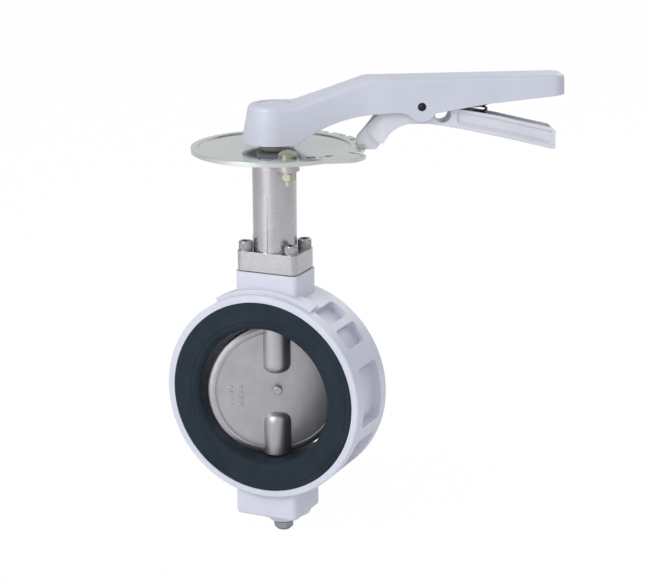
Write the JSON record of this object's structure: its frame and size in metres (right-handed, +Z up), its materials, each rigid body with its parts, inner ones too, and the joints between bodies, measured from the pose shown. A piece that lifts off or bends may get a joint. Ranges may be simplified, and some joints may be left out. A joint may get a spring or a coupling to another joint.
{
  "type": "butterfly valve",
  "caption": "Wafer butterfly valve: ring body with rubber seat, rotating disc, tall stainless neck, notch plate and squeeze-trigger lever.",
  "frame": {"origin": "where the pipe axis crosses the stem axis, at the middle of the waterway", "axes": "+Y along the pipe (the -Y face is the front), +Z up the stem, +X the side the lever points to when the disc is closed"},
  "size_m": [0.2562, 0.1686, 0.3341],
  "materials": {
    "body_paint": "satin",
    "seat_rubber": "matt",
    "cast_stainless": "satin",
    "gasket_sheet": "matt",
    "bolt_stainless": "satin",
    "bearing_polymer": "matt",
    "o_ring_rubber": "matt",
    "plated_plate": "gloss",
    "yellow_zinc": "satin",
    "disc_stainless": "satin",
    "stem_stainless": "satin",
    "spring_steel": "satin",
    "lever_paint": "satin",
    "trigger_paint": "satin"
  },
  "bodies": {
    "valve_body": {"body": "body_paint", "seat_liner": "seat_rubber", "neck": "cast_stainless", "neck_gasket": "gasket_sheet", "neck_bolts": "bolt_stainless", "neck_spring_washers": "bolt_stainless", "upper_bush": "bearing_polymer", "lower_bush": "bearing_polymer", "neck_top_bush": "bearing_polymer", "stem_o_rings": "o_ring_rubber", "notch_plate": "plated_plate", "plate_screws": "yellow_zinc", "plate_washers": "yellow_zinc", "nut_washers": "yellow_zinc", "plate_nuts": "yellow_zinc", "bottom_plug": "bolt_stainless", "bottom_washer": "gasket_sheet"},
    "disc_and_lever": {"disc": "disc_stainless", "upper_stem": "stem_stainless", "lower_stem": "stem_stainless", "retaining_ring": "spring_steel", "lever": "lever_paint", "lever_washer": "bolt_stainless", "lever_bolt": "bolt_stainless", "hub_cap": "lever_paint", "trigger_pin": "spring_steel", "trigger_spring": "spring_steel"},
    "trigger": {"trigger": "trigger_paint"}
  },
  "joints": [
    {"name": "lever_turn", "type": "hinge", "parent": "valve_body", "child": "disc_and_lever", "pos_m": [0, 0, 0], "axis": [0, 0, 1], "range_deg": [-30, 60]},
    {"name": "trigger_squeeze", "type": "hinge", "parent": "disc_and_lever", "child": "trigger", "pos_m": [0.08929, 0.05155, 0.206], "axis": [0.5, -0.866, 0], "range_deg": [0, 14], "stiffness_Nm_per_rad": 2, "springref_deg": -11.46, "deforming": ["trigger_spring"]}
  ]
}
